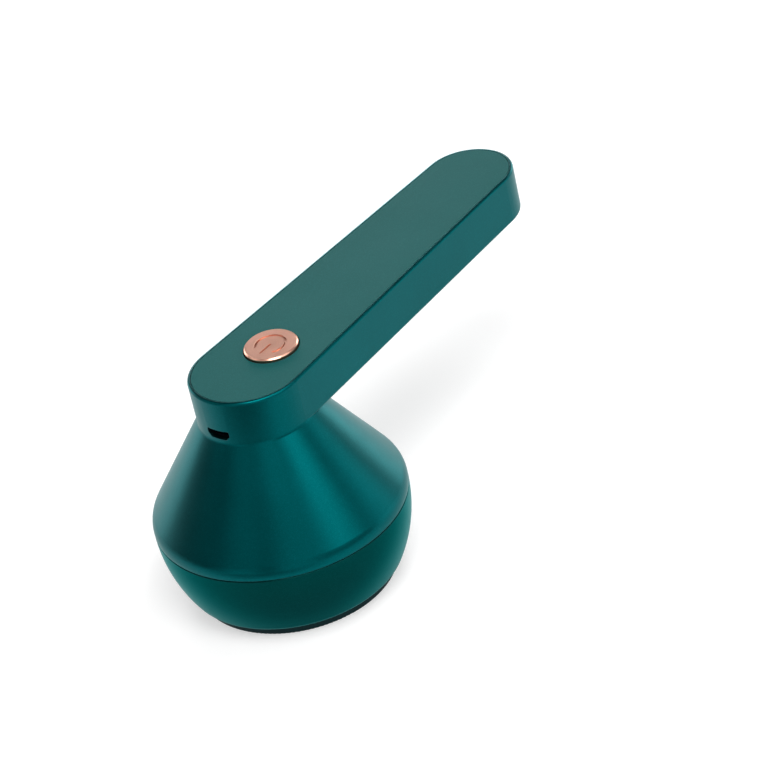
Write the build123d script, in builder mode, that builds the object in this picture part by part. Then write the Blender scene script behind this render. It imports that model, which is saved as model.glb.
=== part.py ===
from build123d import *
import os
from math import atan2, cos, degrees, hypot, pi, radians, sin, sqrt

# A rechargeable fabric shaver: a bell-shaped head under one end of a flat, tapering handle.
# Millimetres, +Z up. The origin is the centre of the guard ring's flat face, which the shaver
# stands on. The head turns about +Z and the handle runs along +X.

# ---------------------------------------------------------------- overall shape
top_z = 73.0
handle_depth = 15.0
near_r = 17.6
far_r = 14.1
far_x = 110.0
wall = 2.0
handle_bottom_z = top_z - handle_depth
tray_floor = 1.8
tray_floor_z = handle_bottom_z + tray_floor
handle_edge_r = 0.9

belly_r = 38.0
seam_z = 25.5
seam_gap = 0.16
shoulder_z = 28.2
shoulder_r = 5.5
cone_meets_handle_z = 58.8
neck_r = 1.5
bell_wall = 2.2
cone_slope = (belly_r - near_r) / (cone_meets_handle_z - shoulder_z)
cone_inset = bell_wall * hypot(1, cone_slope)
neck_stop_z = cone_meets_handle_z + 3.0
shell_z = seam_z + seam_gap / 2
edge_r = 0.25

# ---------------------------------------------------------------- lid and button
lid_thickness = 1.45
lid_gap = 0.15
lid_z = top_z - lid_thickness
rim_width = 1.0
rim_r = 0.85
lip_inset = wall + 0.15
lip_wall = 1.2
lip_depth = 2.2
tab_x = (20.0, 60.0, 100.0)
tab_length = 6.0
tab_drop = 1.6
lid_rib_x = (34.0, 92.0, 104.0)
lid_rib_drop = 1.0

button_x = 11.5
button_r = 8.0
button_hole_r = 8.3
button_stand = 0.95
button_cap_z = 72.2
button_bevel = 0.4
carrier_flange_r = 9.6
carrier_r = 7.5
carrier_drop = 1.55
carrier_flange = 1.3
symbol_r = 4.4
symbol_stroke = 0.75
symbol_gap = 84.0
symbol_depth = 0.3

# ---------------------------------------------------------------- port, board and cell
port_z = 61.6
port_width = 7.3
port_height = 2.5
port_mouth_x = -16.0
port_length = 5.2
slot_width = 7.8
slot_height = 2.9
port_taper = 0.42
port_shell = 0.3
tongue_width = 4.0
tongue_height = 0.65
board_z = port_z + port_height / 2
board_thickness = 1.0
board_end_x = 33.0
board_top_z = board_z + board_thickness
board_post_x = 28.0
board_post_y = 8.0
board_post_r = 2.2
board_screw_bore = 0.85
board_inset = 3.0
switch_side = 6.0
switch_height = 3.5
switch_top_z = board_top_z + switch_height
plunger_r = 1.7
plunger_top_z = switch_top_z + 0.9
cell_length = 50.0
cell_width = 22.0
cell_thickness = 7.5
cell_x = 63.0
tape_thickness = 0.6
cell_z = tray_floor_z + tape_thickness
lead_r = 0.65
cell_lead_z = cell_z + 5.2
cell_front_x = cell_x - cell_length / 2
cell_rib = 1.4

# ---------------------------------------------------------------- lint bin and guard ring
bowl_arc_r = 45.0
bin_wall = 2.2
bin_top_z = seam_z - seam_gap / 2
bin_bottom_z = 2.8
bin_corner_r = 3.0
bin_mouth_r = 35.8
bin_mouth_depth = 4.5
throat_r = 28.8
throat_top_z = 9.0

ring_r = 30.0
ring_opening_r = 25.4
ring_edge_r = 0.35
ring_notch_angle = 33.0
ring_notch_r = 1.3
ring_notch_z = 2.0
ring_flange_z = bin_bottom_z - 0.2
collar_r = 28.5
collar_bore_r = 27.1
collar_top_z = 8.0
lug_count = 3
lug_span = 8.0
lug_r = 29.6
lug_z = 6.2
lug_height = 1.6
ring_turn = 60.0
ring_drop = 6.0
groove_r = 29.9
groove_height = 2.9

# ---------------------------------------------------------------- foil
foil_z = 0.6
foil_thickness = 0.25
foil_r = 26.9
foil_top_z = foil_z + foil_thickness
frame_r = 25.6
frame_lip_r = 24.4
frame_height = 2.2
outer_row_r = 19.8
inner_row_r = 17.0
row_holes = 34
outer_hole_r = 1.25
inner_hole_r = 1.15
field_pitch = 3.1
field_r = 14.9
field_hole_r = 1.13
pin_hole_r = 0.5

# ---------------------------------------------------------------- cutter and motor
blade_z = foil_top_z + 0.1
blade_plate_z = 1.3
blade_thickness = 0.5
blade_tip_r = 22.3
blade_disc_r = 16.3
blade_count = 6
blade_edge = 0.4
blade_back = 2.9
blade_edge_y = 1.1
lint_slot_x = 11.5
lint_slot_length = 8.6
lint_slot_width = 1.7
rivet_circle_r = 7.2
rivet_angle = 42.0
rivet_r = 0.7
rivet_head_r = 1.2
rivet_head = 0.25
hub_flange = 1.25
hub_rib_turn = 14.0
hub_z = blade_plate_z + blade_thickness
hub_top_z = 9.0
hub_r = 5.2
hub_flange_r = 9.0
hub_bore = 4.1
dog_side = 3.9
dog_flange_z = 12.5
dog_top_z = 14.0
dog_flange_r = 4.6
spring_r = 3.45
spring_wire_r = 0.25
spring_turns = 4

motor_z = 18.3
motor_r = 12.2
motor_wall = 1.0
motor_end_z = 46.5
motor_cap_z = 50.3
motor_screw_x = 8.0
magnet_r = 9.0
magnet_span = 136.0
magnet_height = 20.0
brush_y = 7.5
brush_z = 43.2
terminal_height = 10.0
commutator_r = 2.6
commutator_z = 42.3
commutator_top_z = 45.8
shaft_r = 1.0
shaft_bottom_z = 6.5
press_gap = 0.02
bushing_r = 3.0
armature_r = 8.4
armature_z = 24.0
armature_top_z = 41.0
pole_angles = (90.0, 210.0, 330.0)
pole_hub_r = 3.4
pole_shoe_r = 7.2
winding_gap = 0.2

# ---------------------------------------------------------------- motor mount
mount_plate_z = 26.2
mount_plate_top_z = 28.2
mount_plate_r = 34.6
skirt_r = 35.5
skirt_wall = 1.8
skirt_bottom_z = 21.5
skirt_top_z = 26.3
cup_r = 14.6
cup_bore_r = 12.4
cup_bottom_z = 16.0
mount_screw_r = 30.0
mount_screw_angles = (30.0, 150.0, 270.0)
mount_hole_r = 1.4
mount_post_r = 3.0
mount_post_bore = 1.25
snap_angles = (90.0, 210.0, 330.0)
snap_bump = 0.12
cup_rib_end_r = 21.0


os.makedirs("parts", exist_ok=True)


def save(builder, label):
    """Labels a finished piece and writes it as one STEP file."""
    builder.part.label = label
    export_step(builder.part, f"parts/{label}.step")


def handle_outline(inset):
    """Plan of the handle inside the current sketch: two circles and their common tangents."""
    Circle(near_r - inset)
    with Locations((far_x, 0)):
        Circle(far_r - inset)
    make_hull()


def port_outline(width, height, corner_r, mode=Mode.ADD):
    """The socket's section inside the current sketch: a rectangle narrowed at its lower corners."""
    with BuildSketch(Plane.XY, mode=Mode.PRIVATE) as outline:
        Rectangle(width, height)
        lower_corners = outline.vertices().group_by(Axis.Y)[0]
        chamfer(lower_corners, height * port_taper)
        fillet(outline.vertices(), corner_r)
    add(outline.sketch.moved(Location((0, port_z, 0))), mode=mode)


def annular_sector(inner_r, outer_r, centre_deg, span_deg):
    """Part of a flat ring about the origin, inside the current sketch."""
    with BuildLine(mode=Mode.PRIVATE) as outline:
        inner = CenterArc((0, 0), inner_r, centre_deg - span_deg / 2, span_deg)
        outer = CenterArc((0, 0), outer_r, centre_deg - span_deg / 2, span_deg)
        Line(inner @ 0, outer @ 0)
        Line(inner @ 1, outer @ 1)
    make_face(outline.edges())


def disc(radius, low_z, high_z, mode=Mode.ADD):
    """Upright cylinder between two heights, inside the current part."""
    with Locations((0, 0, low_z)):
        Cylinder(radius, high_z - low_z, align=(Align.CENTER, Align.CENTER, Align.MIN), mode=mode)


def cone_r(z):
    """Outer radius of the straight part of the bell."""
    return near_r + (cone_meets_handle_z - z) * cone_slope


def bowl_r(z, inset=0.0):
    """Radius of the lint bin's curved wall, or of its inside face."""
    return belly_r - bowl_arc_r + sqrt((bowl_arc_r - inset) ** 2 - (seam_z - z) ** 2)


def polar(radius, angle_deg):
    """Plan position at a radius and an angle."""
    return (radius * cos(radians(angle_deg)), radius * sin(radians(angle_deg)))


def lead(points, bend_r):
    """One insulated wire: a round section swept along straight runs and tangent arcs."""
    with BuildPart() as wire:
        with BuildLine() as route:
            FilletPolyline(*points, radius=bend_r)
        with BuildSketch(Plane(origin=route.line @ 0, z_dir=route.line % 0)):
            Circle(lead_r)
        sweep()
    return wire.part


def pan_screw(head_r, head_height, shank_r, length):
    """Screw pointing up, with its head's bearing face at the origin."""
    with BuildPart() as screw:
        with BuildSketch(Plane.XY.offset(-head_height)):
            Circle(head_r)
        extrude(amount=head_height)
        fillet(screw.edges().group_by(Axis.Z)[0], head_height * 0.4)
        with BuildSketch(Plane.XY.offset(-head_height)):
            Rectangle(head_r * 1.1, head_height * 0.28)
            Rectangle(head_height * 0.28, head_r * 1.1)
        extrude(amount=head_height * 0.5, mode=Mode.SUBTRACT)
        with BuildSketch(Plane.XY):
            Circle(shank_r)
        extrude(amount=length)
        chamfer(screw.edges().group_by(Axis.Z)[-1], shank_r * 0.4)
    return screw.part


# ================================================================ handle and bell
with BuildPart() as bell_solid:
    with BuildSketch(Plane.XZ) as bell_profile:
        with BuildLine():
            Polyline(
                (0, shell_z),
                (belly_r, shell_z),
                (belly_r, shoulder_z),
                (near_r, cone_meets_handle_z),
                (near_r, neck_stop_z),
                (0, neck_stop_z),
                close=True,
            )
        make_face()
        fillet(bell_profile.vertices().sort_by_distance((belly_r, shoulder_z))[0], shoulder_r)
        fillet(bell_profile.vertices().sort_by_distance((belly_r, shell_z))[0], edge_r)
        fillet(bell_profile.vertices().sort_by_distance((near_r, cone_meets_handle_z))[0], neck_r)
    revolve(axis=Axis.Z)

with BuildPart() as bell_hollow:
    with BuildSketch(Plane.XZ) as hollow_profile:
        with BuildLine():
            Polyline(
                (0, shell_z - 1),
                (belly_r - bell_wall, shell_z - 1),
                (belly_r - bell_wall, shoulder_z - 0.7),
                (cone_r(cone_meets_handle_z) - cone_inset, cone_meets_handle_z),
                (cone_r(cone_meets_handle_z) - cone_inset, tray_floor_z + 0.5),
                (0, tray_floor_z + 0.5),
                close=True,
            )
        make_face()
        fillet(
            hollow_profile.vertices().sort_by_distance((belly_r - bell_wall, shoulder_z - 0.7))[0],
            shoulder_r - bell_wall,
        )
    revolve(axis=Axis.Z)

# Screw posts for the motor mount, cut off by the bell's outer surface.
with BuildPart() as mount_posts:
    for angle in mount_screw_angles:
        with BuildSketch(Plane.XY.offset(mount_plate_top_z + 0.05)):
            with Locations(polar(mount_screw_r, angle)):
                Circle(mount_post_r)
                Circle(mount_post_bore, mode=Mode.SUBTRACT)
        extrude(amount=12)
    add(bell_solid.part, mode=Mode.INTERSECT)

with BuildPart() as handle_solid:
    with BuildSketch(Plane.XY.offset(handle_bottom_z)):
        handle_outline(0)
    extrude(amount=handle_depth)
    fillet(handle_solid.edges().group_by(Axis.Z)[0], handle_edge_r)
    fillet(handle_solid.edges().group_by(Axis.Z)[-1], rim_r)

with BuildPart() as body_shell:
    add(bell_solid.part)
    add(handle_solid.part)
    add(bell_hollow.part, mode=Mode.SUBTRACT)
    with BuildSketch(Plane.XY.offset(tray_floor_z)):
        handle_outline(wall)
    extrude(amount=handle_depth, mode=Mode.SUBTRACT)
    # rebate that the lid drops into, flush with the rim
    with BuildSketch(Plane.XY.offset(lid_z)):
        handle_outline(rim_width)
    extrude(amount=lid_thickness + 1, mode=Mode.SUBTRACT)
    add(mount_posts.part)
    # posts and ledges under the circuit board
    with BuildSketch(Plane.XY.offset(tray_floor_z - 0.5)):
        with GridLocations(0, 2 * board_post_y, 1, 2):
            with Locations((board_post_x, 0)):
                Circle(board_post_r)
                Circle(board_screw_bore, mode=Mode.SUBTRACT)
    extrude(amount=board_z - tray_floor_z + 0.5)
    with BuildSketch(Plane.XY.offset(board_z - 1.5)):
        with GridLocations(0, 2 * (near_r - wall - 0.6), 1, 2):
            Rectangle(5, 2.4)
    extrude(amount=1.5)
    # low ribs that fence the cell in
    with BuildSketch(Plane.XY.offset(tray_floor_z - 0.5)):
        with GridLocations(cell_length + 2 * cell_rib, 0, 2, 1):
            with Locations((cell_x, 0)):
                Rectangle(cell_rib, 16)
    extrude(amount=4)
    # charging slot in the end wall
    with BuildSketch(Plane.YZ.offset(-near_r - 1)):
        port_outline(slot_width, slot_height, 0.4)
    extrude(amount=wall + 3, mode=Mode.SUBTRACT)
save(body_shell, "body_shell")

# ================================================================ lid
with BuildPart() as top_cover:
    with BuildSketch(Plane.XY.offset(lid_z)):
        handle_outline(rim_width + lid_gap)
    extrude(amount=lid_thickness)
    fillet(top_cover.edges().group_by(Axis.Z)[-1], 0.15)
    # locating lip
    with BuildSketch(Plane.XY.offset(lid_z - lip_depth)):
        handle_outline(lip_inset)
        with BuildSketch(mode=Mode.SUBTRACT):
            handle_outline(lip_inset + lip_wall)
    extrude(amount=lip_depth)
    # snap tabs that hook into the tray's wall
    with BuildSketch(Plane.XY.offset(lid_z - lip_depth - tab_drop)):
        for x in tab_x:
            half_width = near_r - (near_r - far_r) * x / far_x - lip_inset - lip_wall / 2
            with Locations((x, half_width), (x, -half_width)):
                Rectangle(tab_length, lip_wall * 0.9)
    extrude(amount=tab_drop + 0.2)
    # stiffening ribs across the underside
    with BuildSketch(Plane.XY.offset(lid_z - lid_rib_drop)):
        with Locations(*[(x, 0) for x in lid_rib_x]):
            Rectangle(1.0, 20)
    extrude(amount=lid_rib_drop + 0.2)
    with BuildSketch(Plane.XY.offset(lid_z - 1)):
        with Locations((button_x, 0)):
            Circle(button_hole_r)
    extrude(amount=lid_thickness + 2, mode=Mode.SUBTRACT)
    fillet(
        top_cover.edges().filter_by(GeomType.CIRCLE).filter_by_position(Axis.Z, top_z - 0.01, top_z + 0.01)
        .filter_by(lambda edge: abs(edge.radius - button_hole_r) < 0.01),
        0.2,
    )
save(top_cover, "top_cover")

# ================================================================ power button
with BuildPart() as button_cap:
    with BuildSketch(Plane.XY.offset(button_cap_z)):
        with Locations((button_x, 0)):
            Circle(button_r)
    extrude(amount=top_z + button_stand - button_cap_z)
    chamfer(button_cap.edges().group_by(Axis.Z)[-1], button_bevel)
    # engraved power sign, opening towards the head end
    with BuildSketch(Plane.XY.offset(top_z + button_stand - symbol_depth)):
        with BuildLine(mode=Mode.PRIVATE) as sign_arc:
            CenterArc((button_x, 0), symbol_r, 180 + symbol_gap / 2, 360 - symbol_gap)
        trace(sign_arc.line, symbol_stroke)
        with Locations((button_x - symbol_r / 2 - 0.4, 0)):
            SlotOverall(symbol_r + 0.8, symbol_stroke)
    extrude(amount=symbol_depth + 0.5, mode=Mode.SUBTRACT)
save(button_cap, "button_cap")

with BuildPart() as button_carrier:
    with BuildSketch(Plane.XY.offset(lid_z - carrier_drop)):
        with Locations((button_x, 0)):
            Circle(carrier_flange_r)
    extrude(amount=carrier_flange)
    with BuildSketch(Plane.XY.offset(lid_z - carrier_drop)):
        with Locations((button_x, 0)):
            Circle(carrier_r)
    extrude(amount=button_cap_z - lid_z + carrier_drop)
    # cross-shaped stem over the switch
    with BuildSketch(Plane.XY.offset(plunger_top_z)):
        with Locations((button_x, 0)):
            Circle(1.6)
            Rectangle(8, 0.8)
            Rectangle(0.8, 8)
    extrude(amount=lid_z - carrier_drop + 0.05 - plunger_top_z)
save(button_carrier, "button_carrier")

# ================================================================ circuit board
with BuildPart() as circuit_board:
    with BuildSketch(Plane.XY.offset(board_z)):
        handle_outline(board_inset)
        with Locations((board_end_x - 60, 0)):
            Rectangle(120, 40, mode=Mode.INTERSECT)
        with Locations((board_post_x, board_post_y), (board_post_x, -board_post_y)):
            Circle(1.1, mode=Mode.SUBTRACT)
    extrude(amount=board_thickness)
save(circuit_board, "circuit_board")

board_screw = pan_screw(1.8, 1.1, 0.8, 3.4)
with BuildPart() as board_screws:
    with Locations((board_post_x, board_post_y, board_top_z), (board_post_x, -board_post_y, board_top_z)):
        add(board_screw, rotation=(180, 0, 0))
save(board_screws, "board_screws")

with BuildPart() as board_components:
    for x, y, long, broad, high in (
        (-5.0, 6.5, 5.0, 4.0, 1.1),
        (-5.0, -6.0, 3.0, 3.0, 1.2),
        (1.5, -9.5, 2.0, 1.2, 0.6),
        (1.5, 9.5, 2.0, 1.2, 0.6),
        (21.0, 6.5, 4.0, 4.0, 2.0),
        (20.5, -6.5, 5.0, 4.0, 1.1),
        (-9.0, 0.0, 1.6, 3.2, 1.0),
    ):
        with BuildSketch(Plane.XY.offset(board_top_z)):
            with Locations((x, y)):
                Rectangle(long, broad)
        extrude(amount=high)
save(board_components, "board_components")

with BuildPart() as tact_switch:
    with BuildSketch(Plane.XY.offset(board_top_z)):
        with Locations((button_x, 0)):
            RectangleRounded(switch_side, switch_side, 0.6)
    extrude(amount=switch_height)
    with BuildSketch(Plane.XY.offset(switch_top_z - 1.5)):
        with Locations((button_x, 0)):
            Circle(plunger_r + 0.1)
    extrude(amount=2, mode=Mode.SUBTRACT)
    # four legs at the corners
    with BuildSketch(Plane.XY.offset(board_top_z)):
        with Locations((button_x, 0)):
            with GridLocations(switch_side + 1.0, 4.5, 2, 2):
                Rectangle(1.2, 0.7)
    extrude(amount=0.5)
save(tact_switch, "tact_switch")

with BuildPart() as switch_plunger:
    with BuildSketch(Plane.XY.offset(switch_top_z - 0.9)):
        with Locations((button_x, 0)):
            Circle(plunger_r)
    extrude(amount=plunger_top_z - switch_top_z + 0.9)
save(switch_plunger, "switch_plunger")

# ================================================================ charging port
with BuildPart() as usb_port:
    with BuildSketch(Plane.YZ.offset(port_mouth_x)):
        port_outline(port_width, port_height, 0.25)
        port_outline(
            port_width - 2 * port_shell, port_height - 2 * port_shell, 0.15, mode=Mode.SUBTRACT
        )
    extrude(amount=port_length)
    # closed back of the shell
    with BuildSketch(Plane.YZ.offset(port_mouth_x + port_length - 0.4)):
        port_outline(port_width, port_height, 0.25)
    extrude(amount=0.4)
save(usb_port, "usb_port")

with BuildPart() as usb_tongue:
    with BuildSketch(Plane.YZ.offset(port_mouth_x + 1.0)):
        with Locations((0, port_z + 0.25)):
            RectangleRounded(tongue_width, tongue_height, 0.2)
    extrude(amount=port_length - 1.4)
save(usb_tongue, "usb_tongue")

# ================================================================ cell
with BuildPart() as battery_cell:
    with BuildSketch(Plane.YZ.offset(cell_x - cell_length / 2)):
        with Locations((0, cell_z + cell_thickness / 2)):
            RectangleRounded(cell_width, cell_thickness, 2.4)
    extrude(amount=cell_length)
    fillet(battery_cell.edges().group_by(Axis.X)[0], 0.6)
    fillet(battery_cell.edges().group_by(Axis.X)[-1], 0.6)
save(battery_cell, "battery_cell")

with BuildPart() as battery_tape:
    with BuildSketch(Plane.XY.offset(tray_floor_z)):
        with Locations((cell_x, 0)):
            Rectangle(cell_length - 6, 16)
    extrude(amount=tape_thickness)
save(battery_tape, "battery_tape")

with BuildPart() as battery_leads:
    for side in (-1, 1):
        add(
            lead(
                [
                    (cell_front_x, 4.0 * side, cell_lead_z),
                    (cell_front_x - 2.6, 4.0 * side, cell_lead_z),
                    (board_end_x - 2.0, 3.0 * side, cell_lead_z),
                    (board_end_x - 2.0, 3.0 * side, board_top_z),
                ],
                0.9,
            )
        )
save(battery_leads, "battery_leads")

# ================================================================ motor mount
with BuildPart() as motor_mount:
    with BuildSketch(Plane.XZ):
        with BuildLine():
            Polyline(
                (0, cup_bottom_z),
                (cup_r - 1.0, cup_bottom_z),
                (cup_r, cup_bottom_z + 1.0),
                (cup_r, mount_plate_z),
                (skirt_r - skirt_wall, mount_plate_z),
                (skirt_r - skirt_wall, skirt_bottom_z),
                (skirt_r - 0.4, skirt_bottom_z),
                (skirt_r, skirt_bottom_z + 0.8),
                (skirt_r, skirt_top_z),
                (mount_plate_r, skirt_top_z),
                (mount_plate_r, mount_plate_top_z),
                (cup_r, mount_plate_top_z),
                (cup_r, mount_plate_top_z + 4),
                (cup_bore_r, mount_plate_top_z + 4),
                (cup_bore_r, motor_z),
                (0, motor_z),
                close=True,
            )
        make_face()
    revolve(axis=Axis.Z)
    # shaft hole, motor screw holes and mount screw holes
    disc(bushing_r + 0.3, cup_bottom_z - 1, motor_z + 1, Mode.SUBTRACT)
    with BuildSketch(Plane.XY.offset(cup_bottom_z - 1)):
        with GridLocations(2 * motor_screw_x, 0, 2, 1):
            Circle(1.1)
    extrude(amount=4, mode=Mode.SUBTRACT)
    with BuildSketch(Plane.XY.offset(mount_plate_z - 1)):
        with PolarLocations(mount_screw_r, len(mount_screw_angles), start_angle=mount_screw_angles[0]):
            Circle(mount_hole_r)
    extrude(amount=4, mode=Mode.SUBTRACT)
    # snap bumps that hold the bin, and stiffening ribs round the cup
    for angle in snap_angles:
        with BuildSketch(Plane.XY.offset(skirt_bottom_z + 1.6)):
            annular_sector(skirt_r - 0.5, skirt_r + snap_bump, angle, 9)
        extrude(amount=0.8)
    with BuildSketch(Plane.XY.offset(mount_plate_top_z - 0.5)):
        with PolarLocations((cup_r + cup_rib_end_r) / 2, 6):
            Rectangle(cup_rib_end_r - cup_r + 1, 1.2)
    extrude(amount=3.0)
save(motor_mount, "motor_mount")

mount_screw = pan_screw(2.3, 1.4, 1.2, 8.0)
with BuildPart() as mount_screws:
    for angle in mount_screw_angles:
        x, y = polar(mount_screw_r, angle)
        with Locations((x, y, mount_plate_z)):
            add(mount_screw)
save(mount_screws, "mount_screws")

# ================================================================ motor
with BuildPart() as motor_can:
    disc(motor_r, motor_z, motor_end_z)
    fillet(motor_can.edges().group_by(Axis.Z)[0], 0.8)
    disc(motor_r - motor_wall, motor_z + motor_wall, motor_end_z + 1, Mode.SUBTRACT)
    disc(bushing_r + press_gap, motor_z - 1, motor_z + motor_wall + 1, Mode.SUBTRACT)
    with BuildSketch(Plane.XY.offset(motor_z - 1)):
        with GridLocations(2 * motor_screw_x, 0, 2, 1):
            Circle(1.0)
    extrude(amount=4, mode=Mode.SUBTRACT)
save(motor_can, "motor_can")

with BuildPart() as motor_end_cap:
    disc(motor_r - motor_wall - 0.05, motor_end_z - 1.2, motor_end_z)
    disc(motor_r - 0.3, motor_end_z, motor_cap_z - 1.2)
    disc(bushing_r + 2.0, motor_cap_z - 1.2, motor_cap_z)
    fillet(motor_end_cap.edges().group_by(Axis.Z)[-1], 0.4)
    disc(bushing_r + press_gap, motor_end_z - 2, motor_cap_z + 1, Mode.SUBTRACT)
    # slots for the two brush terminals
    with BuildSketch(Plane.XY.offset(motor_end_z - 2)):
        with GridLocations(0, 2 * brush_y, 1, 2):
            Rectangle(2.6, 0.8)
    extrude(amount=8, mode=Mode.SUBTRACT)
save(motor_end_cap, "motor_end_cap")

with BuildPart() as motor_magnets:
    for angle in (0.0, 180.0):
        with BuildSketch(Plane.XY.offset(motor_z + 4)):
            annular_sector(magnet_r, motor_r - motor_wall - 0.05, angle, magnet_span)
        extrude(amount=magnet_height)
save(motor_magnets, "motor_magnets")

with BuildPart() as motor_bushings:
    disc(bushing_r, motor_z - 1.4, motor_z + 2.0)
    disc(shaft_r + press_gap, motor_z - 3, motor_z + 4, Mode.SUBTRACT)
    disc(bushing_r, motor_cap_z - 2.6, motor_cap_z - 0.2)
    disc(shaft_r + press_gap, motor_cap_z - 4, motor_cap_z + 1, Mode.SUBTRACT)
save(motor_bushings, "motor_bushings")

with BuildPart() as motor_terminals:
    # each is a flat blade through the cap, a foot below it and a leaf that bears on the commutator
    for side in (-1, 1):
        with BuildSketch(Plane.XY.offset(brush_z)):
            with Locations((0, brush_y * side)):
                Rectangle(2.4, 0.6)
        extrude(amount=terminal_height)
        with BuildSketch(Plane.XY.offset(brush_z)):
            with Locations((0, side * (commutator_r + 0.1 + brush_y) / 2)):
                Rectangle(2.0, brush_y - commutator_r - 0.1)
        extrude(amount=0.6)
        with BuildSketch(Plane.XY.offset(brush_z)):
            with Locations((0, side * (commutator_r + 0.4))):
                Rectangle(2.0, 0.5)
        extrude(amount=2.0)
save(motor_terminals, "motor_terminals")

motor_screw = pan_screw(1.9, 1.2, 0.95, 3.6)
with BuildPart() as motor_screws:
    with Locations((motor_screw_x, 0, cup_bottom_z), (-motor_screw_x, 0, cup_bottom_z)):
        add(motor_screw)
save(motor_screws, "motor_screws")

with BuildPart() as motor_leads:
    for side in (-1, 1):
        add(
            lead(
                [
                    (0, 8.5 * side, 51.6),
                    (1.8, 9.6 * side, 53.5),
                    (5.0, 7.0 * side, 58.5),
                    (5.0, 7.0 * side, board_z),
                ],
                1.3,
            )
        )
save(motor_leads, "motor_leads")

# ================================================================ armature
with BuildPart() as motor_shaft:
    disc(shaft_r, shaft_bottom_z, motor_cap_z + 0.8)
    chamfer(motor_shaft.edges().filter_by(GeomType.CIRCLE), 0.25)
save(motor_shaft, "motor_shaft")

with BuildPart() as armature_core:
    with BuildSketch(Plane.XY.offset(armature_z)):
        Circle(armature_r)
        Circle(shaft_r + press_gap, mode=Mode.SUBTRACT)
    extrude(amount=armature_top_z - armature_z)
    for angle in pole_angles:
        with BuildSketch(Plane.XY.offset(armature_z - 1)):
            annular_sector(pole_hub_r, pole_shoe_r, angle + 60, 86)
        extrude(amount=armature_top_z - armature_z + 2, mode=Mode.SUBTRACT)
        with BuildSketch(Plane.XY.offset(armature_z - 1)):
            annular_sector(pole_shoe_r - 0.2, armature_r + 1, angle + 60, 9)
        extrude(amount=armature_top_z - armature_z + 2, mode=Mode.SUBTRACT)
save(armature_core, "armature_core")

with BuildPart() as armature_windings:
    for angle in pole_angles:
        for side in (-1, 1):
            with BuildSketch(Plane.XY.offset(armature_z - 0.9)):
                annular_sector(
                    pole_hub_r + winding_gap, pole_shoe_r - winding_gap, angle + 60 + side * 21.5, 36
                )
            extrude(amount=armature_top_z - armature_z + 1.8)
save(armature_windings, "armature_windings")

with BuildPart() as commutator:
    with BuildSketch(Plane.XY.offset(commutator_z)):
        Circle(commutator_r)
        Circle(shaft_r + press_gap, mode=Mode.SUBTRACT)
    extrude(amount=commutator_top_z - commutator_z)
    for angle in pole_angles:
        with BuildSketch(Plane.XY.offset(commutator_z - 1)):
            annular_sector(commutator_r - 0.5, commutator_r + 1, angle, 8)
        extrude(amount=commutator_top_z - commutator_z + 2, mode=Mode.SUBTRACT)
save(commutator, "commutator")

with BuildPart() as drive_dog:
    with BuildSketch(Plane.XY.offset(shaft_bottom_z - 1.2)):
        RectangleRounded(dog_side, dog_side, 0.3)
    extrude(amount=dog_flange_z - shaft_bottom_z + 1.2)
    chamfer(drive_dog.edges().group_by(Axis.Z)[0], 0.25)
    disc(dog_flange_r, dog_flange_z, dog_top_z)
    disc(shaft_r + press_gap, shaft_bottom_z - 0.05, dog_top_z + 1, Mode.SUBTRACT)
save(drive_dog, "drive_dog")

# ================================================================ cutter
with BuildPart() as cutter_spring:
    spring_height = dog_flange_z - hub_top_z - 2 * spring_wire_r - 0.04
    with BuildLine() as coil:
        Helix(
            pitch=spring_height / spring_turns,
            height=spring_height,
            radius=spring_r,
            center=(0, 0, hub_top_z + spring_wire_r + 0.02),
        )
    with BuildSketch(Plane(origin=coil.line @ 0, z_dir=coil.line % 0)):
        Circle(spring_wire_r)
    sweep(is_frenet=True)
save(cutter_spring, "cutter_spring")

def blade_frame(index):
    """Location whose X runs out along one blade."""
    return Location((0, 0, 0), (0, 0, index * 360 / blade_count))


with BuildPart() as cutter_hub:
    disc(hub_flange_r, hub_z, hub_z + hub_flange)
    disc(hub_r, hub_z, hub_top_z)
    fillet(cutter_hub.edges().group_by(Axis.Z)[-1], 0.5)
    # six ribs that back the blades
    with BuildSketch(Plane.XY.offset(hub_z)):
        with PolarLocations(hub_flange_r + 0.5, blade_count, start_angle=hub_rib_turn):
            RectangleRounded(13, 2.2, 0.8)
    extrude(amount=hub_flange)
    with BuildSketch(Plane.XY.offset(hub_z + hub_flange)):
        Rectangle(hub_bore, hub_bore)
    extrude(amount=hub_top_z, mode=Mode.SUBTRACT)
    with BuildSketch(Plane.XY.offset(hub_z - 1)):
        with PolarLocations(rivet_circle_r, 3, start_angle=rivet_angle):
            Circle(rivet_r + 0.05)
    extrude(amount=4, mode=Mode.SUBTRACT)
save(cutter_hub, "cutter_hub")

with BuildPart() as blade_plate:
    blade_middle_x = blade_tip_r / 2 + 2
    with BuildSketch(Plane.XY.offset(blade_plate_z)):
        Circle(blade_disc_r)
        for index in range(blade_count):
            with Locations(blade_frame(index)):
                with Locations((blade_middle_x, blade_edge_y + blade_back / 2)):
                    Rectangle(blade_tip_r - 4, blade_back)
        # a slot in front of each blade lets the cut lint through
        for index in range(blade_count):
            with Locations(blade_frame(index)):
                with Locations((lint_slot_x, 0)):
                    RectangleRounded(lint_slot_length, lint_slot_width, 0.6, mode=Mode.SUBTRACT)
        Circle(blade_tip_r, mode=Mode.INTERSECT)
        with PolarLocations(rivet_circle_r, 3, start_angle=rivet_angle):
            Circle(rivet_r + 0.05, mode=Mode.SUBTRACT)
    extrude(amount=blade_thickness)
    # cutting edges, bent down to the foil
    for index in range(blade_count):
        with BuildSketch(Plane.XY.offset(blade_z)):
            with Locations(blade_frame(index)):
                with Locations(((blade_tip_r + 5.0) / 2, blade_edge_y + blade_edge / 2)):
                    Rectangle(blade_tip_r - 5.4, blade_edge)
        extrude(amount=blade_plate_z - blade_z + 0.1)
save(blade_plate, "blade_plate")

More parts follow.
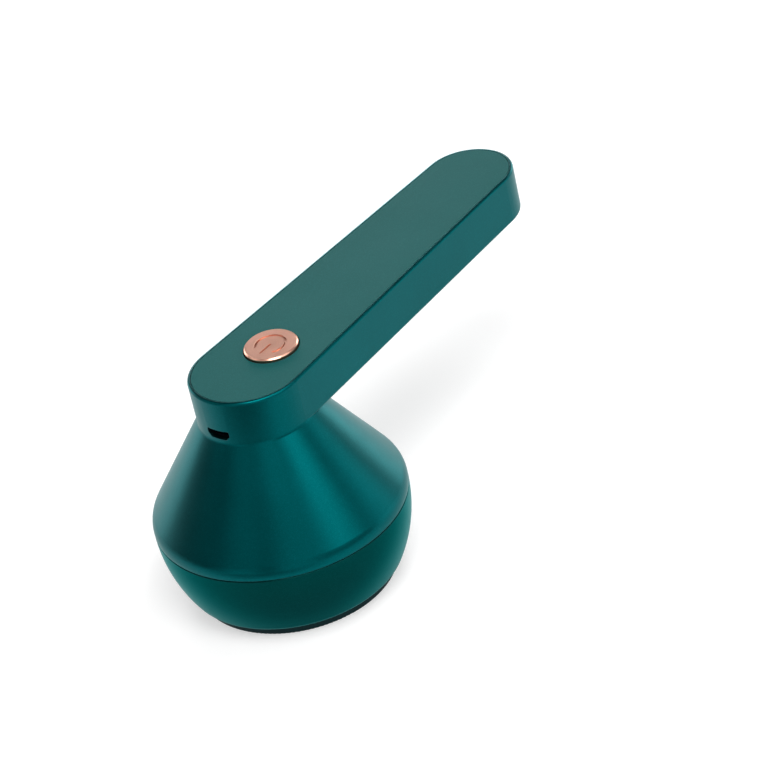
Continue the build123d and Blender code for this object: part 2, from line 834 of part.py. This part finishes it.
with BuildPart() as blade_rivets:
    lower_head_z = blade_plate_z - rivet_head
    upper_head_z = hub_z + hub_flange
    for radius, low_z, high_z in (
        (rivet_head_r, lower_head_z, blade_plate_z),
        (rivet_r, lower_head_z, upper_head_z + rivet_head),
        (rivet_head_r, upper_head_z, upper_head_z + rivet_head),
    ):
        with BuildSketch(Plane.XY.offset(low_z)):
            with PolarLocations(rivet_circle_r, 3, start_angle=rivet_angle):
                Circle(radius)
        extrude(amount=high_z - low_z)
save(blade_rivets, "blade_rivets")

# ================================================================ lint bin
with BuildPart() as bin_wall_solid:
    with BuildSketch(Plane.XZ) as bin_profile:
        mouth_z = bin_top_z - bin_mouth_depth
        with BuildLine():
            ThreePointArc(
                (bowl_r(bin_top_z), bin_top_z),
                (bowl_r(14.0), 14.0),
                (bowl_r(bin_bottom_z), bin_bottom_z),
            )
            Line((bowl_r(bin_bottom_z), bin_bottom_z), (throat_r, bin_bottom_z))
            Line((throat_r, bin_bottom_z), (throat_r, throat_top_z))
            Line((throat_r, throat_top_z), (bowl_r(throat_top_z, bin_wall), throat_top_z))
            ThreePointArc(
                (bowl_r(throat_top_z, bin_wall), throat_top_z),
                (bowl_r(15.0, bin_wall), 15.0),
                (bowl_r(mouth_z, bin_wall), mouth_z),
            )
            Line((bowl_r(mouth_z, bin_wall), mouth_z), (bin_mouth_r, mouth_z))
            Line((bin_mouth_r, mouth_z), (bin_mouth_r, bin_top_z))
            Line((bin_mouth_r, bin_top_z), (bowl_r(bin_top_z), bin_top_z))
        make_face()
        fillet(
            bin_profile.vertices().sort_by_distance((bowl_r(bin_bottom_z), bin_bottom_z))[0],
            bin_corner_r,
        )
        fillet(bin_profile.vertices().sort_by_distance((bowl_r(bin_top_z), bin_top_z))[0], edge_r)
    revolve(axis=Axis.Z)

# One start of the quick thread in the bin's throat. It rises with angle, as a right-hand thread does.
groove_lead_in = ring_turn + 12.0
groove_run_out = lug_span / 2 + 2.0
rise_per_degree = ring_drop / ring_turn
groove_pitch = 360.0 * rise_per_degree
with BuildPart() as groove:
    with BuildLine() as groove_path:
        Helix(
            pitch=groove_pitch,
            height=(groove_lead_in + groove_run_out) * rise_per_degree,
            radius=throat_r,
            center=(0, 0, lug_z - groove_lead_in * rise_per_degree),
        )
    with BuildSketch(
        Plane(origin=groove_path.line @ 0, x_dir=(1, 0, 0), z_dir=groove_path.line % 0)
    ):
        Rectangle(2 * (groove_r - throat_r), groove_height)
    sweep(is_frenet=True)

lug_angles = [index * 360.0 / lug_count + 30.0 for index in range(lug_count)]
with BuildPart() as lint_bin:
    add(bin_wall_solid.part)
    for angle in lug_angles:
        add(groove.part, rotation=(0, 0, angle - groove_lead_in), mode=Mode.SUBTRACT)
save(lint_bin, "lint_bin")

# ================================================================ guard ring and foil
with BuildPart() as guard_ring:
    with BuildSketch(Plane.XZ) as ring_profile:
        with BuildLine():
            Polyline(
                (ring_opening_r, 0),
                (ring_r, 0),
                (ring_r, ring_flange_z),
                (collar_r, ring_flange_z),
                (collar_r, collar_top_z),
                (collar_bore_r, collar_top_z),
                (collar_bore_r, foil_z),
                (ring_opening_r, foil_z),
                close=True,
            )
        make_face()
        fillet(ring_profile.vertices().sort_by_distance((ring_r, 0))[0], ring_edge_r)
        fillet(ring_profile.vertices().sort_by_distance((ring_r, ring_flange_z))[0], ring_edge_r)
        chamfer(ring_profile.vertices().sort_by_distance((ring_opening_r, 0))[0], 0.3)
    revolve(axis=Axis.Z)
    for angle in lug_angles:
        with BuildSketch(Plane.XY.offset(lug_z - lug_height / 2)):
            annular_sector(collar_r - 0.6, lug_r, angle, lug_span)
        extrude(amount=lug_height)
    # a small notch in the rim marks the locked position
    with BuildSketch():
        with Locations(polar(ring_r + ring_notch_r / 2, ring_notch_angle)):
            Circle(ring_notch_r)
    extrude(amount=ring_notch_z, mode=Mode.SUBTRACT)
save(guard_ring, "guard_ring")


def field_holes():
    """Centres of the foil's inner field: a triangular grid, split into pin holes and full holes."""
    full, pins = [], [(0.0, 0.0)]
    steps = range(-6, 7)
    for i in steps:
        for j in steps:
            x = (i + j / 2) * field_pitch
            y = j * field_pitch * sqrt(3) / 2
            distance = hypot(x, y)
            if distance < 0.1 or distance > field_r:
                continue
            from_spoke = abs((degrees(atan2(y, x)) + 30) % 60 - 30)
            if distance < 1.1 * field_pitch:
                pins.append((x, y))
            elif distance > 4.5 * field_pitch and 5 < from_spoke < 15:
                pins.append((x, y))
            else:
                full.append((x, y))
    return full, pins


full_holes, pin_holes = field_holes()
with BuildPart() as foil:
    with BuildSketch(Plane.XY.offset(foil_z)):
        Circle(foil_r)
        with PolarLocations(outer_row_r, row_holes):
            Circle(outer_hole_r, mode=Mode.SUBTRACT)
        with PolarLocations(inner_row_r, row_holes, start_angle=180 / row_holes):
            Circle(inner_hole_r, mode=Mode.SUBTRACT)
        with Locations(*full_holes):
            Circle(field_hole_r, mode=Mode.SUBTRACT)
        with Locations(*pin_holes):
            Circle(pin_hole_r, mode=Mode.SUBTRACT)
    extrude(amount=foil_thickness)
save(foil, "foil")

with BuildPart() as foil_frame:
    with BuildSketch(Plane.XZ):
        with BuildLine():
            Polyline(
                (frame_lip_r, foil_top_z),
                (foil_r, foil_top_z),
                (foil_r, foil_top_z + frame_height),
                (frame_r, foil_top_z + frame_height),
                (frame_r, foil_top_z + 0.9),
                (frame_lip_r, foil_top_z + 0.6),
                close=True,
            )
        make_face()
    revolve(axis=Axis.Z)
save(foil_frame, "foil_frame")

# ================================================================ figures for the record
print("thread ratio, metres per radian", round(ring_drop / 1000 / (ring_turn * pi / 180), 9))
print("handle tip x", far_x + far_r, "height", top_z + button_stand)
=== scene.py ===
"""Looks for the fabric shaver: materials, cutter spring, studio, camera. Metres, in the CAD frame."""
from math import cos, pi, radians, sin

import bmesh
import bpy
from mathutils import Matrix, Vector


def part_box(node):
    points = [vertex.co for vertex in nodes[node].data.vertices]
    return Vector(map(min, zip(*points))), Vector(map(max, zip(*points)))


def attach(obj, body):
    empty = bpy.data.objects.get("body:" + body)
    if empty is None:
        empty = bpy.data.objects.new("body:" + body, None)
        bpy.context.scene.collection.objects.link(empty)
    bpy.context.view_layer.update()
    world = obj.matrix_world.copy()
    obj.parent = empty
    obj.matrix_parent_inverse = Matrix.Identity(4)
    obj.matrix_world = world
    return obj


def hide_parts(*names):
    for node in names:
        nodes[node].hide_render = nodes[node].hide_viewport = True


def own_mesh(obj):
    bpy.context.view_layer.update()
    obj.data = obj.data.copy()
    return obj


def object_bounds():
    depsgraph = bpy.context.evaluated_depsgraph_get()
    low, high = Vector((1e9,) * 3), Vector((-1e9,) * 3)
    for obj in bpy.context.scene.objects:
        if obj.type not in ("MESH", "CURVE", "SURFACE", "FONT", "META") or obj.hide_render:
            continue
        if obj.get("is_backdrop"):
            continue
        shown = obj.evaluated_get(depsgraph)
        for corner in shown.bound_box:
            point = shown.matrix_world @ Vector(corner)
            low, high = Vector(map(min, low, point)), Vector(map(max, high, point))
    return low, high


MM = 0.001
WHITE = (1.0, 1.0, 1.0, 1.0)

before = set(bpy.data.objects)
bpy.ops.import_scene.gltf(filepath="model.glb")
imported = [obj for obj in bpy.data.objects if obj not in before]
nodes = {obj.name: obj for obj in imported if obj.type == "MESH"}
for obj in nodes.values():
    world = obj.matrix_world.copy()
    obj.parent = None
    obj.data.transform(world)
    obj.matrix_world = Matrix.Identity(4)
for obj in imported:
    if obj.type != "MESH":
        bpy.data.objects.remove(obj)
cad_low, cad_high = (Vector(corner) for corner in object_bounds())


# ---------------------------------------------------------------- node helpers
class Material:
    """A material with a Principled shader and short calls for the nodes that feed it."""

    def __init__(self, name, **settings):
        self.data = bpy.data.materials.new(name)
        self.data.use_nodes = True
        self.tree = self.data.node_tree
        self.shader = self.tree.nodes["Principled BSDF"]
        for label, value in settings.items():
            self.shader.inputs[label.replace("_", " ")].default_value = value

    def node(self, kind, **inputs):
        made = self.tree.nodes.new(kind)
        for label, value in inputs.items():
            self.feed(made.inputs[label.replace("_", " ")], value)
        return made

    def feed(self, socket, value):
        if isinstance(value, bpy.types.NodeSocket):
            self.tree.links.new(value, socket)
        else:
            socket.default_value = value

    def place(self):
        """Object coordinates, in metres."""
        return self.node("ShaderNodeTexCoord").outputs["Object"]

    def scaled(self, scale=(1, 1, 1), centre=(0, 0, 0)):
        """Object coordinates about a centre, multiplied by a scale on each axis."""
        moved = self.node("ShaderNodeVectorMath", Vector=self.place())
        moved.operation = "SUBTRACT"
        moved.inputs[1].default_value = centre
        return self.node("ShaderNodeMapping", Vector=moved.outputs[0], Scale=scale).outputs[0]

    def noise(self, where, scale=1.0, detail=3.0, roughness=0.5):
        made = self.node("ShaderNodeTexNoise", Vector=where, Scale=scale, Detail=detail, Roughness=roughness)
        return made.outputs["Fac"]

    def cells(self, where, scale):
        return self.node("ShaderNodeTexVoronoi", Vector=where, Scale=scale)

    def ramp(self, factor, *stops):
        """Colour ramp from (position, colour) stops."""
        made = self.node("ShaderNodeValToRGB", Fac=factor)
        elements = made.color_ramp.elements
        while len(elements) < len(stops):
            elements.new(0.5)
        for element, (position, colour) in zip(elements, stops):
            element.position = position
            element.color = (*colour, 1.0)
        return made.outputs["Color"]

    def spread(self, factor, low, high, start=0.0, stop=1.0):
        """A factor mapped to the range low to high."""
        made = self.node("ShaderNodeMapRange", Value=factor)
        made.inputs["From Min"].default_value = start
        made.inputs["From Max"].default_value = stop
        made.inputs["To Min"].default_value = low
        made.inputs["To Max"].default_value = high
        return made.outputs["Result"]

    def math(self, operation, first, second=0.0):
        made = self.tree.nodes.new("ShaderNodeMath")
        made.operation = operation
        self.feed(made.inputs[0], first)
        self.feed(made.inputs[1], second)
        return made.outputs[0]

    def mix(self, factor, first, second):
        made = self.tree.nodes.new("ShaderNodeMix")
        made.data_type = "RGBA"
        self.feed(made.inputs["Factor"], factor)
        self.feed(made.inputs["A"], first if isinstance(first, bpy.types.NodeSocket) else (*first, 1.0))
        self.feed(made.inputs["B"], second if isinstance(second, bpy.types.NodeSocket) else (*second, 1.0))
        return made.outputs["Result"]

    def bump(self, *layers):
        """Bump layers as (height, depth in metres, strength), one on top of the other."""
        normal = None
        for height, depth, strength in layers:
            made = self.node("ShaderNodeBump", Height=height, Distance=depth, Strength=strength)
            if normal is not None:
                self.feed(made.inputs["Normal"], normal)
            normal = made.outputs["Normal"]
        self.feed(self.shader.inputs["Normal"], normal)

    def edges(self, radius):
        """1 on convex and concave edges within a radius, 0 on flat ground."""
        rounded = self.node("ShaderNodeBevel", Radius=radius)
        rounded.samples = 4
        flat = self.node("ShaderNodeNewGeometry").outputs["Normal"]
        dot = self.node("ShaderNodeVectorMath", Vector=rounded.outputs["Normal"])
        dot.operation = "DOT_PRODUCT"
        self.feed(dot.inputs[1], flat)
        return self.spread(dot.outputs["Value"], 1.0, 0.0, start=0.9, stop=0.995)

    def open_from_behind(self):
        """Lets a sheet be looked through from its back."""
        behind = self.node("ShaderNodeNewGeometry").outputs["Backfacing"]
        clear = self.node("ShaderNodeBsdfTransparent").outputs["BSDF"]
        either = self.node("ShaderNodeMixShader", Fac=behind)
        self.feed(either.inputs[1], self.shader.outputs["BSDF"])
        self.feed(either.inputs[2], clear)
        self.feed(self.tree.nodes["Material Output"].inputs["Surface"], either.outputs["Shader"])

    def set(self, **inputs):
        for label, value in inputs.items():
            self.feed(self.shader.inputs[label.replace("_", " ")], value)
        return self.data


# ---------------------------------------------------------------- materials
def pearl_paint(name, deep, bright, roughness, shade_below=None, **settings):
    """Satin pearl paint: two close tones, metal flake, a little orange peel and paler worn edges.

    The optional downward fade is painted shade: a darker tone that the paint fades to downwards, with the
    two heights that the fade lies between.
    """
    paint = Material(name, **settings)
    cloud = paint.noise(paint.scaled(), scale=38.0, detail=2.0)
    tone = paint.mix(paint.spread(cloud, 0.0, 1.0, 0.3, 0.7), deep, bright)
    # painted shade: the paint darkens towards the bottom, between two heights
    if shade_below:
        shade_below_tone, low, high = shade_below
        height = paint.node("ShaderNodeSeparateXYZ", Vector=paint.place()).outputs["Z"]
        tone = paint.mix(paint.spread(height, 0.0, 1.0, low, high), shade_below_tone, tone)
    flake = paint.cells(paint.scaled(), scale=5200.0)
    sparkle = paint.spread(flake.outputs["Color"], 0.0, 0.22, 0.55, 1.0)
    tone = paint.mix(sparkle, tone, tuple(min(1.0, 2.2 * c + 0.01) for c in bright))
    worn_r = 0.35 * MM
    worn = paint.math("MULTIPLY", paint.edges(worn_r), paint.noise(paint.scaled(), scale=160.0))
    tone = paint.mix(paint.math("MULTIPLY", worn, 0.35), tone, tuple(0.6 * c + 0.12 for c in bright))
    peel = paint.noise(paint.scaled(), scale=900.0, detail=1.0)
    smear = paint.noise(paint.scaled(), scale=55.0, detail=4.0)
    paint.bump((peel, 0.02 * MM, 0.10), (flake.outputs["Distance"], 0.01 * MM, 0.08))
    return paint.set(Base_Color=tone, Roughness=paint.spread(smear, roughness - 0.04, roughness + 0.06))


def moulded_plastic(name, colour, roughness=0.5, grain=1400.0, depth=0.02, **settings):
    """Moulded plastic with a fine eroded texture and slight tone changes."""
    plastic = Material(name, **settings)
    where = plastic.scaled()
    patches = plastic.noise(where, scale=90.0)
    darker = tuple(0.8 * c for c in colour)
    paler = tuple(min(1.0, 1.15 * c) for c in colour)
    texture = plastic.noise(where, scale=grain, detail=2.0)
    plastic.bump((texture, depth * MM, 0.25))
    rough = plastic.spread(plastic.noise(where, scale=220.0), roughness - 0.06, roughness + 0.06)
    tone = plastic.mix(plastic.spread(patches, 0.0, 1.0, 0.3, 0.7), darker, paler)
    return plastic.set(Base_Color=tone, Roughness=rough)


def turned_metal(name, colour, roughness, centre, rings=2600.0, bump=0.25):
    """Metal with fine concentric turning marks about a vertical axis through the centre."""
    metal = Material(name, Metallic=1.0)
    split = metal.node("ShaderNodeSeparateXYZ", Vector=metal.scaled(centre=centre))
    across = metal.math("POWER", split.outputs["X"], 2.0)
    along = metal.math("POWER", split.outputs["Y"], 2.0)
    radius = metal.math("SQRT", metal.math("ADD", across, along))
    outward = metal.node("ShaderNodeCombineXYZ", X=radius).outputs[0]
    marks = metal.noise(outward, scale=rings)
    smear = metal.noise(metal.scaled(), scale=180.0)
    tone = metal.mix(metal.spread(marks, 0, 1, 0.3, 0.7), tuple(0.88 * c for c in colour), colour)
    metal.bump((marks, 0.012 * MM, bump))
    return metal.set(Base_Color=tone, Roughness=metal.spread(smear, roughness - 0.05, roughness + 0.07))


def drawn_metal(name, colour, roughness=0.32, grain=(900, 900, 60)):
    """Metal with straight grain, stretched along the axis whose scale is smallest."""
    metal = Material(name, Metallic=1.0)
    streaks = metal.noise(metal.scaled(grain), scale=3.0, detail=4.0)
    spots = metal.noise(metal.scaled(), scale=240.0)
    tone = metal.mix(metal.spread(streaks, 0, 1, 0.3, 0.7), tuple(0.8 * c for c in colour), colour)
    metal.bump((streaks, 0.01 * MM, 0.2))
    return metal.set(Base_Color=tone, Roughness=metal.spread(spots, roughness - 0.06, roughness + 0.1))


def wound_wire(name, colour):
    """Enamelled wire laid side by side, across the armature's axis."""
    wire = Material(name, Metallic=0.9, Coat_Weight=0.6, Coat_Roughness=0.1)
    bands = wire.node("ShaderNodeTexWave", Vector=wire.scaled(), Scale=700.0, Distortion=0.4)
    bands.bands_direction = "Z"
    tone = wire.mix(bands.outputs["Fac"], tuple(0.35 * c for c in colour), colour)
    wire.bump((bands.outputs["Fac"], 0.08 * MM, 0.8))
    return wire.set(Base_Color=tone, Roughness=wire.spread(bands.outputs["Fac"], 0.45, 0.25))


def laminations(name, colour):
    """A stack of thin coated steel sheets."""
    stack = Material(name, Metallic=0.8)
    bands = stack.node("ShaderNodeTexWave", Vector=stack.scaled(), Scale=320.0)
    bands.bands_direction = "Z"
    stack.bump((bands.outputs["Fac"], 0.05 * MM, 0.6))
    tone = stack.mix(bands.outputs["Fac"], tuple(0.5 * c for c in colour), colour)
    return stack.set(Base_Color=tone, Roughness=stack.spread(bands.outputs["Fac"], 0.55, 0.4))


def solder_mask(name, colour):
    """Circuit board: green lacquer over copper tracks."""
    board = Material(name, Coat_Weight=0.5, Coat_Roughness=0.15, IOR=1.5)
    grid = board.node("ShaderNodeTexBrick", Vector=board.scaled(), Scale=180.0)
    grid.inputs["Mortar Size"].default_value = 0.09
    paler = tuple(1.8 * c for c in colour)
    board.bump((grid.outputs["Fac"], 0.03 * MM, 0.5))
    smear = board.noise(board.scaled(), scale=300.0)
    tone = board.mix(grid.outputs["Fac"], colour, paler)
    return board.set(Base_Color=tone, Roughness=board.spread(smear, 0.3, 0.42))


def pouch_foil(name, colour):
    """Crinkled aluminium laminate of a pouch cell."""
    pouch = Material(name, Metallic=0.85)
    creases = pouch.noise(pouch.scaled(), scale=260.0, detail=5.0, roughness=0.6)
    pouch.bump((creases, 0.25 * MM, 0.5))
    tone = pouch.mix(pouch.spread(creases, 0, 1, 0.35, 0.65), tuple(0.8 * c for c in colour), colour)
    return pouch.set(Base_Color=tone, Roughness=pouch.spread(creases, 0.28, 0.45))


def lead_insulation(name, positive, negative):
    """Wire sleeve: one colour on the +Y lead and another on the -Y lead."""
    sleeve = Material(name, Coat_Weight=0.2)
    side = sleeve.node("ShaderNodeSeparateXYZ", Vector=sleeve.place()).outputs["Y"]
    which = sleeve.math("GREATER_THAN", side, 0.0)
    texture = sleeve.noise(sleeve.scaled(), scale=900.0)
    sleeve.bump((texture, 0.02 * MM, 0.3))
    rough = sleeve.spread(texture, 0.38, 0.5)
    return sleeve.set(Base_Color=sleeve.mix(which, negative, positive), Roughness=rough)


def paint_nodes(material, *names):
    """Gives CAD nodes one material in every slot."""
    for name in names:
        slots = nodes[name].data.materials
        if not slots:
            slots.append(material)
        for index in range(len(slots)):
            slots[index] = material


button_low, button_high = (Vector(corner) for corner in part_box("button_cap"))
button_centre = (button_low + button_high) / 2

bin_top_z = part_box("lint_bin")[1][2]

shell_paint = pearl_paint(
    "shell_paint",
    deep=(0.0, 0.083, 0.090),
    bright=(0.0, 0.093, 0.102),
    roughness=0.36,
    Metallic=1.0,
    Specular_Tint=(0.85, 1.0, 1.0, 1.0),
)
bin_paint = pearl_paint(
    "bin_paint",
    deep=(0.0, 0.037, 0.036),
    bright=(0.0, 0.042, 0.041),
    roughness=0.34,
    # painted shade: the bin's paint darkens downwards from its top
    shade_below=((0.002, 0.009, 0.010), 1 * MM, bin_top_z),
    Metallic=1.0,
    Specular_Tint=(0.5, 1.0, 1.0, 1.0),
)
lid_paint = pearl_paint(
    "lid_paint",
    deep=(0.010, 0.094, 0.091),
    bright=(0.013, 0.102, 0.100),
    roughness=0.5,
    Specular_IOR_Level=0.04,
)
rose_gold = turned_metal("rose_gold", (0.93, 0.49, 0.36), 0.3, button_centre, rings=4200.0)
foil_steel = turned_metal("foil_steel", (0.82, 0.83, 0.84), 0.26, (0, 0, 0), rings=1500.0, bump=0.12)
blade_steel = drawn_metal("blade_steel", (0.68, 0.69, 0.71), 0.24, (600, 60, 600))
ring_plastic = moulded_plastic(
    "ring_plastic", (0.002, 0.020, 0.023), 0.35, 700.0, 0.008, Specular_IOR_Level=0.08
)
port_black = moulded_plastic("port_black", (0.002, 0.002, 0.006), 0.55, 900.0, 0.01, Specular_IOR_Level=0.1)
black_plastic = moulded_plastic("black_plastic", (0.012, 0.013, 0.014), 0.5)
white_plastic = moulded_plastic("white_plastic", (0.72, 0.72, 0.69), 0.42)
chip_epoxy = moulded_plastic("chip_epoxy", (0.02, 0.02, 0.021), 0.55, 2600.0)
foam_tape = moulded_plastic("foam_tape", (0.6, 0.58, 0.52), 0.85, 900.0, 0.15)
motor_steel = drawn_metal("motor_steel", (0.5, 0.5, 0.51), 0.3)
plain_steel = drawn_metal("plain_steel", (0.56, 0.56, 0.57), 0.28, (500, 500, 500))
bronze = drawn_metal("bronze", (0.5, 0.3, 0.13), 0.4, (400, 400, 400))
copper = wound_wire("copper", (0.62, 0.22, 0.09))
commutator_copper = drawn_metal("commutator_copper", (0.72, 0.33, 0.17), 0.3)
magnet = moulded_plastic("magnet", (0.035, 0.035, 0.038), 0.7, 500.0, 0.05)
core_steel = laminations("core_steel", (0.2, 0.2, 0.21))
board_green = solder_mask("board_green", (0.006, 0.075, 0.026))
cell_wrap = pouch_foil("cell_wrap", (0.62, 0.64, 0.66))
lead_wire = lead_insulation("lead_wire", (0.42, 0.008, 0.008), (0.01, 0.01, 0.01))

paint_nodes(shell_paint, "body_shell")
paint_nodes(bin_paint, "lint_bin")
paint_nodes(lid_paint, "top_cover")
paint_nodes(rose_gold, "button_cap")
paint_nodes(foil_steel, "foil")
paint_nodes(blade_steel, "blade_plate")
paint_nodes(ring_plastic, "guard_ring")
paint_nodes(black_plastic, "foil_frame", "button_carrier", "switch_plunger", "motor_mount")
paint_nodes(port_black, "usb_port", "usb_tongue")
paint_nodes(white_plastic, "cutter_hub", "drive_dog", "motor_end_cap")
paint_nodes(chip_epoxy, "tact_switch", "board_components")
paint_nodes(foam_tape, "battery_tape")
paint_nodes(motor_steel, "motor_can")
paint_nodes(plain_steel, "motor_shaft", "mount_screws", "motor_screws", "board_screws", "blade_rivets")
paint_nodes(plain_steel, "cutter_spring")
paint_nodes(bronze, "motor_bushings", "motor_terminals")
paint_nodes(copper, "armature_windings")
paint_nodes(commutator_copper, "commutator")
paint_nodes(magnet, "motor_magnets")
paint_nodes(core_steel, "armature_core")
paint_nodes(board_green, "circuit_board")
paint_nodes(cell_wrap, "battery_cell")
paint_nodes(lead_wire, "battery_leads", "motor_leads")


# ---------------------------------------------------------------- the cutter's spring
def helix_tube(name, radius, bottom, top, turns, wire_r, sides=12, steps_a_turn=48):
    """A smooth wire of round section along a right-handed helix about +Z, with flat ends."""
    steps = turns * steps_a_turn
    rise = (top - bottom) / (2 * pi * turns)
    points, faces = [], []
    for step in range(steps + 1):
        angle = 2 * pi * step / steps_a_turn
        outward = Vector((cos(angle), sin(angle), 0.0))
        along = Vector((-radius * sin(angle), radius * cos(angle), rise)).normalized()
        across = along.cross(outward)
        middle = radius * outward + Vector((0.0, 0.0, bottom + rise * angle))
        for side in range(sides):
            turn = 2 * pi * side / sides
            points.append(middle + wire_r * (cos(turn) * outward + sin(turn) * across))
    for step in range(steps):
        for side in range(sides):
            first, second = step * sides + side, step * sides + (side + 1) % sides
            faces.append((first, second, second + sides, first + sides))
    faces.append(tuple(reversed(range(sides))))
    faces.append(tuple(range(steps * sides, (steps + 1) * sides)))
    mesh = bpy.data.meshes.new(name)
    mesh.from_pydata(points, [], faces)
    mesh.shade_smooth()
    made = bpy.data.objects.new(name, mesh)
    bpy.context.collection.objects.link(made)
    return made


spring_low, spring_high = (Vector(corner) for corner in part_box("cutter_spring"))
spring_wire_r = 0.25 * MM
spring = helix_tube(
    "spring_wire",
    radius=(spring_high.x - spring_low.x) / 2 - spring_wire_r,
    bottom=spring_low.z + spring_wire_r,
    top=spring_high.z - spring_wire_r,
    turns=4,
    wire_r=spring_wire_r,
)
spring.data.materials.append(plain_steel)
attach(spring, "cutter")
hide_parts("cutter_spring")
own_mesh(spring)


# ---------------------------------------------------------------- studio
def sheet(name, material, middle, bearing_deg, length, width, lift=0.0):
    """A level rectangle at or just over the ring's rest height, its length on a bearing from +X."""
    mesh = bpy.data.meshes.new(name)
    signs = ((-1, -1), (1, -1), (1, 1), (-1, 1))
    corners = [(along * length / 2, across * width / 2, 0.0) for along, across in signs]
    mesh.from_pydata(corners, [], [(0, 1, 2, 3)])
    mesh.materials.append(material)
    lying = bpy.data.objects.new(name, mesh)
    lying.location = (middle[0], middle[1], cad_low.z + lift)
    lying.rotation_euler = (0.0, 0.0, radians(bearing_deg))
    bpy.context.collection.objects.link(lying)
    stand_under(lying)
    return lying


def stand_under(staged):
    """Stages an object that goes down with the foil pack, so that lowered pieces stand on it."""
    staged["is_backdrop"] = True
    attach(staged, "foil_pack")


def only_seen_by(staged, camera=False, reflections=False):
    """Leaves a staged object to the camera or to reflections alone: it casts no shadow and no soft light."""
    staged.visible_camera = camera
    staged.visible_glossy = reflections
    staged.visible_diffuse = False
    staged.visible_shadow = False


def light_table():
    """A wide white table under the guard ring, which glows, and more so far from the shaver."""
    glow = Material("light_table", Roughness=0.7, Emission_Color=WHITE)
    grain = glow.noise(glow.scaled(), scale=30.0, detail=4.0)
    away = glow.node("ShaderNodeVectorMath", Vector=glow.place())
    away.operation = "LENGTH"
    glow.set(
        Base_Color=glow.ramp(grain, (0.3, (0.54, 0.54, 0.54)), (0.7, (0.56, 0.56, 0.56))),
        Emission_Strength=glow.spread(away.outputs["Value"], 0.54, 1.0, start=0.6, stop=0.9),
    )
    glow.open_from_behind()
    sheet("table", glow.data, middle=(0.0, 0.0), bearing_deg=0.0, length=6.0, width=6.0)


def backdrop(radius):
    """A pale paper globe round the studio, seen by the camera and by nothing else."""
    globe = bmesh.new()
    bmesh.ops.create_uvsphere(globe, u_segments=96, v_segments=48, radius=radius)
    mesh = bpy.data.meshes.new("backdrop")
    globe.to_mesh(mesh)
    globe.free()
    paper = Material("backdrop_paper", Roughness=0.9, Emission_Color=WHITE, Emission_Strength=1.0)
    grain = paper.noise(paper.scaled(), scale=12.0)
    paper.set(Base_Color=paper.ramp(grain, (0.3, (0.5, 0.5, 0.5)), (0.7, (0.52, 0.52, 0.52))))
    mesh.materials.append(paper.data)
    round_studio = bpy.data.objects.new("backdrop", mesh)
    bpy.context.collection.objects.link(round_studio)
    round_studio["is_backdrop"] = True
    only_seen_by(round_studio, camera=True)


def black_card():
    """A dark card on the table, left of the picture, that deepens what the handle's end wall reflects."""
    felt = Material("black_felt", Roughness=0.9)
    nap = felt.noise(felt.scaled(), scale=700.0)
    felt.set(Base_Color=felt.ramp(nap, (0.3, (0.008, 0.008, 0.008)), (0.7, (0.014, 0.014, 0.014))))
    card = sheet(
        "card", felt.data, middle=(-0.186, -0.069), bearing_deg=-66.4, length=0.26, width=0.20, lift=1 * MM
    )
    only_seen_by(card, reflections=True)


def softbox(name, place, aim, width, power):
    """A square area light at a place, aimed at a point."""
    light = bpy.data.lights.new(name, "AREA")
    light.shape = "SQUARE"
    light.size = width
    light.energy = power
    lamp = bpy.data.objects.new(name, light)
    lamp.location = place
    lamp.rotation_euler = (Vector(aim) - Vector(place)).to_track_quat("-Z", "Y").to_euler()
    bpy.context.collection.objects.link(lamp)


def direction(bearing_deg, height_deg):
    """Unit vector at a bearing from +X towards +Y and an angle above the floor."""
    bearing = radians(bearing_deg)
    height = radians(height_deg)
    return Vector((cos(bearing) * cos(height), sin(bearing) * cos(height), sin(height)))


def surroundings(colour, strength):
    """An even, soft studio all round."""
    world = bpy.data.worlds.new("studio")
    world.use_nodes = True
    background = world.node_tree.nodes["Background"]
    background.inputs["Color"].default_value = (*colour, 1.0)
    background.inputs["Strength"].default_value = strength
    bpy.context.scene.world = world


def camera(aim, back, distance, roll_deg, lens):
    """A long lens, in millimetres, that looks along -back at the aim, turned about its own axis."""
    data = bpy.data.cameras.new("camera")
    data.sensor_width = 36.0
    data.lens = lens
    data.clip_start = 0.01
    seen = bpy.data.objects.new("camera", data)
    turn = back.to_track_quat("Z", "Y").to_matrix() @ Matrix.Rotation(radians(roll_deg), 3, "Z")
    seen.matrix_world = Matrix.Translation(aim + distance * back) @ turn.to_4x4()
    bpy.context.collection.objects.link(seen)
    bpy.context.scene.camera = seen


light_table()
backdrop(radius=2.0)
black_card()
surroundings((0.93, 0.96, 1.0), strength=0.02)

centre = (cad_low + cad_high) / 2
lamp_distance = 0.95
lamp_width = 0.45
# name, bearing from +X towards +Y and angle above the floor in degrees, watts
for lamp_name, bearing, height, power in (
    ("key", 225, 65, 5.4),
    ("top_right", 315, 65, 1.9),
    ("front", 270, 35, 2.0),
    ("front_low", 315, 10, 1.3),
    ("front_left", 225, 35, 0.3),
    ("front_centre", 225, 10, 0.7),
    ("left", 180, 35, 0.35),
    ("left_low", 180, 5, 0.6),
    ("back_left", 135, 35, 0.7),
    ("back", 90, 10, 1.8),
    ("back_right", 45, 10, 4.5),
    ("right", 0, 10, 2.7),
):
    softbox(lamp_name, centre + lamp_distance * direction(bearing, height), centre, lamp_width, power)

azimuth = radians(-46.52)
elevation = radians(33.28)
toward_camera = Vector((sin(azimuth) * cos(elevation), -cos(azimuth) * cos(elevation), sin(elevation)))
aim_from_centre = Vector((1.4, -10.3, 1.8)) * MM
camera(centre + aim_from_centre, toward_camera, distance=1.0939, roll_deg=-12.97, lens=171.39)

view = bpy.context.scene.view_settings
view.view_transform = "Standard"
view.look = "None"
